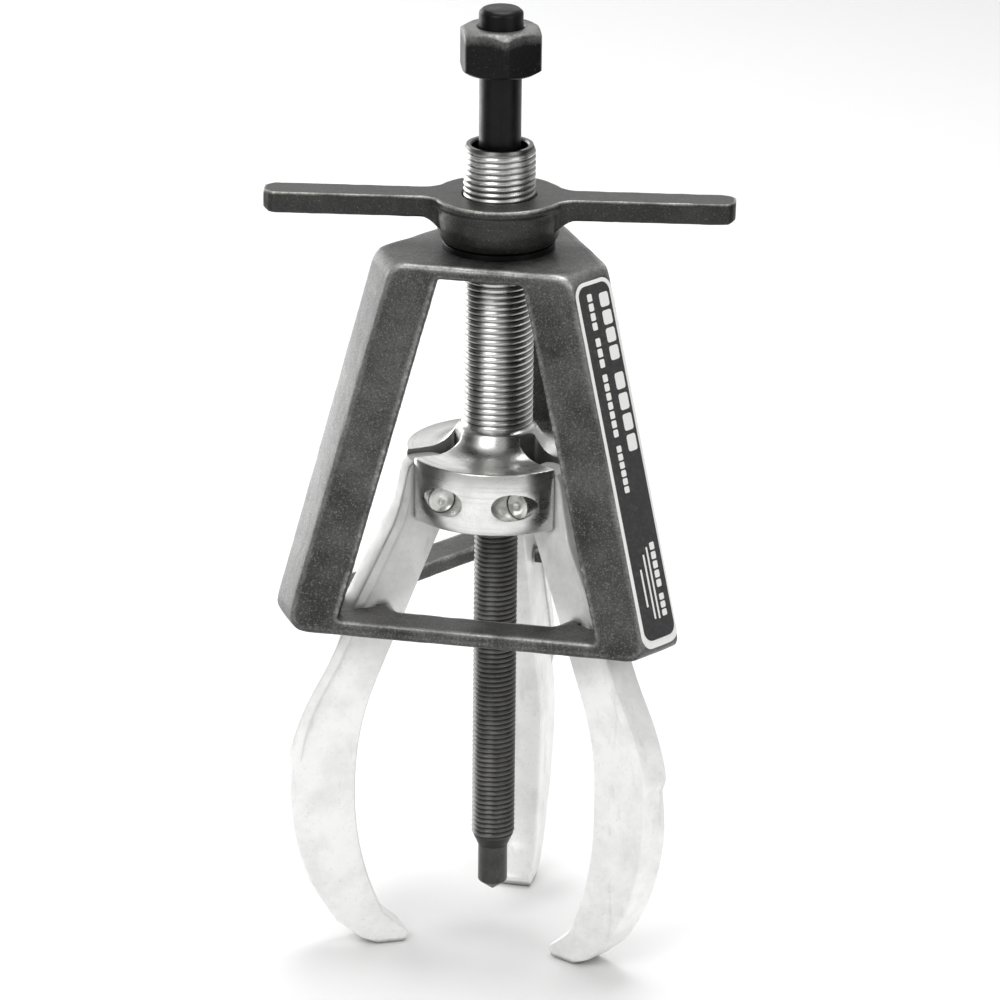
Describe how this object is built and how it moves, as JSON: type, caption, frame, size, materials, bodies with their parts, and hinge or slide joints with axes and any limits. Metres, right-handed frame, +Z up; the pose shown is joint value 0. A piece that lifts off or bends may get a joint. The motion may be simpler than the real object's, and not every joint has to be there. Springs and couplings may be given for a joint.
{
  "type": "gear puller",
  "caption": "Mechanical gear and bearing puller with hooked jaws on a slotted head, a forged cage moved by a T-handle that opens and locks the jaws, and a hex-driven forcing screw.",
  "frame": {"origin": "where the forcing screw's axis meets the plane that the three jaw tips stand on", "axes": "+Z up along the screw, towards the drive nut; +Y towards the back jaw; the label is on the leg towards +X and -Y"},
  "size_m": [0.1622, 0.1251, 0.341],
  "materials": {
    "black_oxide": "dark oiled thread and shank",
    "point_steel": "dark hardened steel, worn at the cone",
    "spring_steel": "plain spring steel",
    "nut_black": "black oxide, satin",
    "turned_steel": "turned and threaded, bright",
    "forged_handle": "dark forging, worn bright at the edges",
    "forged_cage": "dark grey forging with a fine grain",
    "label_film": "black film with white border and bars",
    "satin_jaw": "pale satin forged steel",
    "pin_steel": "ground pin, polished"
  },
  "bodies": {
    "head": {"jaw_head": "turned_steel"},
    "cage": {"cage": "forged_cage", "label": "label_film", "thrust_washer": "black_oxide"},
    "handle": {"t_handle": "forged_handle", "neck_snap_ring": "spring_steel"},
    "point": {"centre_point": "point_steel"},
    "screw": {"forcing_screw": "black_oxide", "drive_nut": "nut_black", "point_retaining_ring": "spring_steel"},
    "jaw_left": {"jaw_left": "satin_jaw", "pivot_pin_left": "pin_steel"},
    "jaw_right": {"jaw_right": "satin_jaw", "pivot_pin_right": "pin_steel"},
    "jaw_back": {"jaw_back": "satin_jaw", "pivot_pin_back": "pin_steel"}
  },
  "joints": [
    {"name": "cage_travel", "type": "slide", "parent": "head", "child": "cage", "axis": [0, 0, -1], "range_m": [-0.017, 0.01806]},
    {"name": "handle_turn", "type": "hinge", "parent": "cage", "child": "handle", "pos_m": [0, 0, 0.2667], "axis": [0, 0, -1], "range_deg": [-2880, 3060]},
    {"name": "screw_travel", "type": "slide", "parent": "head", "child": "point", "axis": [0, 0, -1], "range_m": [-0.11974, 0.0254]},
    {"name": "screw_turn", "type": "hinge", "parent": "point", "child": "screw", "pos_m": [0, 0, 0.2], "axis": [0, 0, -1], "range_deg": [-23855.04, 5060.16]},
    {"name": "jaw_left_swing", "type": "hinge", "parent": "head", "child": "jaw_left", "pos_m": [-0.02165, -0.0125, 0.1708], "axis": [0.5, -0.866, 0], "range_deg": [-7.65, 8.13]},
    {"name": "jaw_right_swing", "type": "hinge", "parent": "head", "child": "jaw_right", "pos_m": [0.02165, -0.0125, 0.1708], "axis": [0.5, 0.866, 0], "range_deg": [-7.65, 8.13]},
    {"name": "jaw_back_swing", "type": "hinge", "parent": "head", "child": "jaw_back", "pos_m": [0, 0.025, 0.1708], "axis": [-1, 0, 0], "range_deg": [-7.65, 8.13]}
  ],
  "couplings": [
    {"joint": "cage_travel", "follows": "handle_turn", "m_per_rad": 0.00033688},
    {"joint": "screw_turn", "follows": "screw_travel", "rad_per_m": 3463.2},
    {"joint": "jaw_left_swing", "follows": "handle_turn", "ratio": 0.002647},
    {"joint": "jaw_right_swing", "follows": "handle_turn", "ratio": 0.002647},
    {"joint": "jaw_back_swing", "follows": "handle_turn", "ratio": 0.002647}
  ]
}
